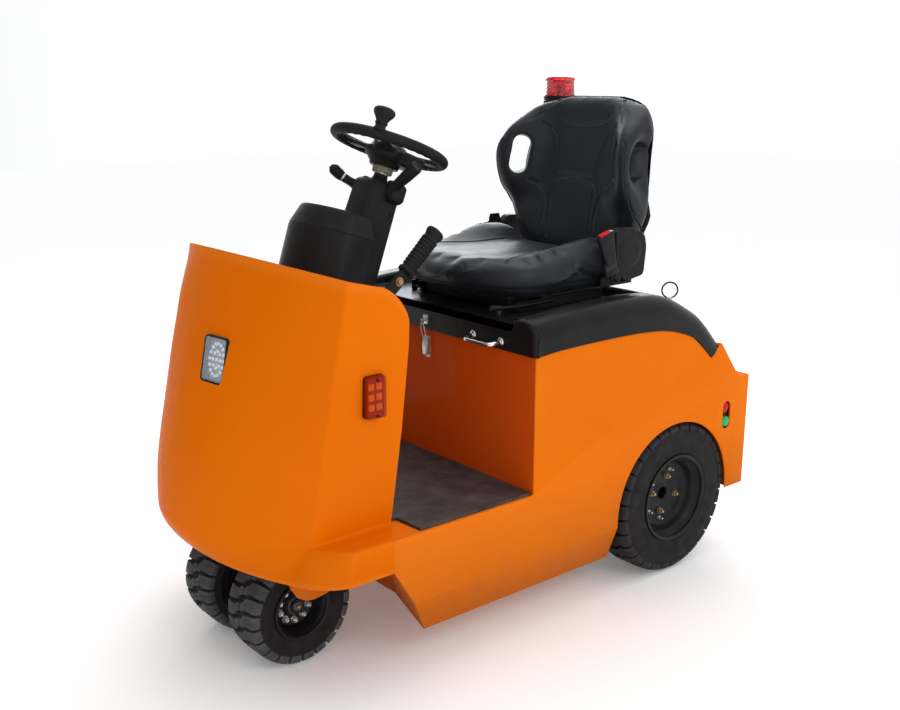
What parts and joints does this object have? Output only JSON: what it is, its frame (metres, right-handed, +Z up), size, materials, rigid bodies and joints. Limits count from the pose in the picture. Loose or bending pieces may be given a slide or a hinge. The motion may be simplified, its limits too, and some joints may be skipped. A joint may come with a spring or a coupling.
{
  "type": "airport baggage tug",
  "caption": "Compact electric tow tractor with a bowed front cowl, open step-through platform, driver seat on a hinged battery lid, steered twin nose wheels and a pin tow coupler.",
  "frame": {"origin": "middle of the tug's footprint box, on the floor", "axes": "+X forward, +Y to the driver's left, +Z up"},
  "size_m": [1.686, 0.776, 1.293],
  "materials": {
    "body_orange": "gloss orange paint",
    "black_plastic": "satin black moulding",
    "black_steel": "black painted steel",
    "tyre_rubber": "matt black rubber",
    "mat_rubber": "worn dark rubber",
    "seat_vinyl": "black vinyl with a soft sheen",
    "grip_rubber": "soft black grip",
    "chromed": "bright chrome",
    "steel": "zinc plated steel",
    "cast_steel": "black cast steel",
    "lamp_clear": "clear lens",
    "lamp_amber": "amber lens",
    "lamp_red": "red lens",
    "button_red": "red button",
    "button_green": "green button",
    "battery_case": "dark grey"
  },
  "bodies": {
    "chassis": {"front_cowl": "body_orange", "nose_apron": "body_orange", "floor_platform": "body_orange", "floor_mat": "mat_rubber", "side_panel_left": "body_orange", "side_panel_right": "body_orange", "belly_pan": "body_orange", "seat_box_front": "body_orange", "wheel_houses": "black_steel", "rear_plate": "body_orange", "column_cover": "black_plastic", "dash_pod": "black_plastic", "control_stalks": "black_plastic", "handbrake_lever": "black_steel", "pedals": "black_steel", "headlight": "lamp_clear", "marker_lamps": "lamp_amber", "hood_latch": "steel", "stop_button": "button_red", "start_button": "button_green", "tow_coupler": "cast_steel", "battery": "battery_case", "drive_axle": "black_steel"},
    "battery_lid": {"hood": "black_plastic", "seat_base": "black_steel", "seat_cushion": "seat_vinyl", "seat_back": "seat_vinyl", "seat_back_shell": "black_plastic", "seat_side_covers": "black_plastic", "belt_buckles": "black_plastic", "beacon_post": "black_steel", "beacon_lens": "lamp_red", "grab_handle": "chromed"},
    "steering_column_wheel": {"steering_wheel": "grip_rubber", "steering_knob": "black_plastic"},
    "steering_swivel": {"steering_yoke": "body_orange"},
    "front_wheels": {"front_tyre_left": "tyre_rubber", "front_tyre_right": "tyre_rubber", "front_rim_left": "black_steel", "front_rim_right": "black_steel"},
    "rear_wheel_left": {"rear_tyre_left": "tyre_rubber", "rear_rim_left": "black_steel"},
    "rear_wheel_right": {"rear_tyre_right": "tyre_rubber", "rear_rim_right": "black_steel"},
    "coupler_pin": {"tow_pin": "steel"}
  },
  "joints": [
    {"name": "battery_lid_hinge", "type": "hinge", "parent": "chassis", "child": "battery_lid", "pos_m": [-0.563, 0, 0.618], "axis": [0, -1, 0], "range_deg": [0, 50]},
    {"name": "steering_swivel_turn", "type": "hinge", "parent": "chassis", "child": "steering_swivel", "pos_m": [0.625, 0, 0.3], "axis": [0, 0, 1], "range_deg": [-75, 75]},
    {"name": "front_wheels_roll", "type": "hinge", "parent": "steering_swivel", "child": "front_wheels", "pos_m": [0.625, 0, 0.1325], "axis": [0, 1, 0], "continuous": true},
    {"name": "rear_wheel_left_roll", "type": "hinge", "parent": "chassis", "child": "rear_wheel_left", "pos_m": [-0.403, 0.318, 0.2075], "axis": [0, 1, 0], "continuous": true},
    {"name": "rear_wheel_right_roll", "type": "hinge", "parent": "chassis", "child": "rear_wheel_right", "pos_m": [-0.403, -0.318, 0.2075], "axis": [0, 1, 0], "continuous": true},
    {"name": "steering_wheel_turn", "type": "hinge", "parent": "chassis", "child": "steering_column_wheel", "pos_m": [0.248, 0, 1.132], "axis": [-0.3746, 0, 0.9272], "range_deg": [-450, 450]},
    {"name": "coupler_pin_lift", "type": "slide", "parent": "chassis", "child": "coupler_pin", "axis": [0, 0, 1], "range_m": [0, 0.22]}
  ],
  "couplings": [
    {"joint": "steering_wheel_turn", "follows": "steering_swivel_turn", "ratio": 6}
  ]
}
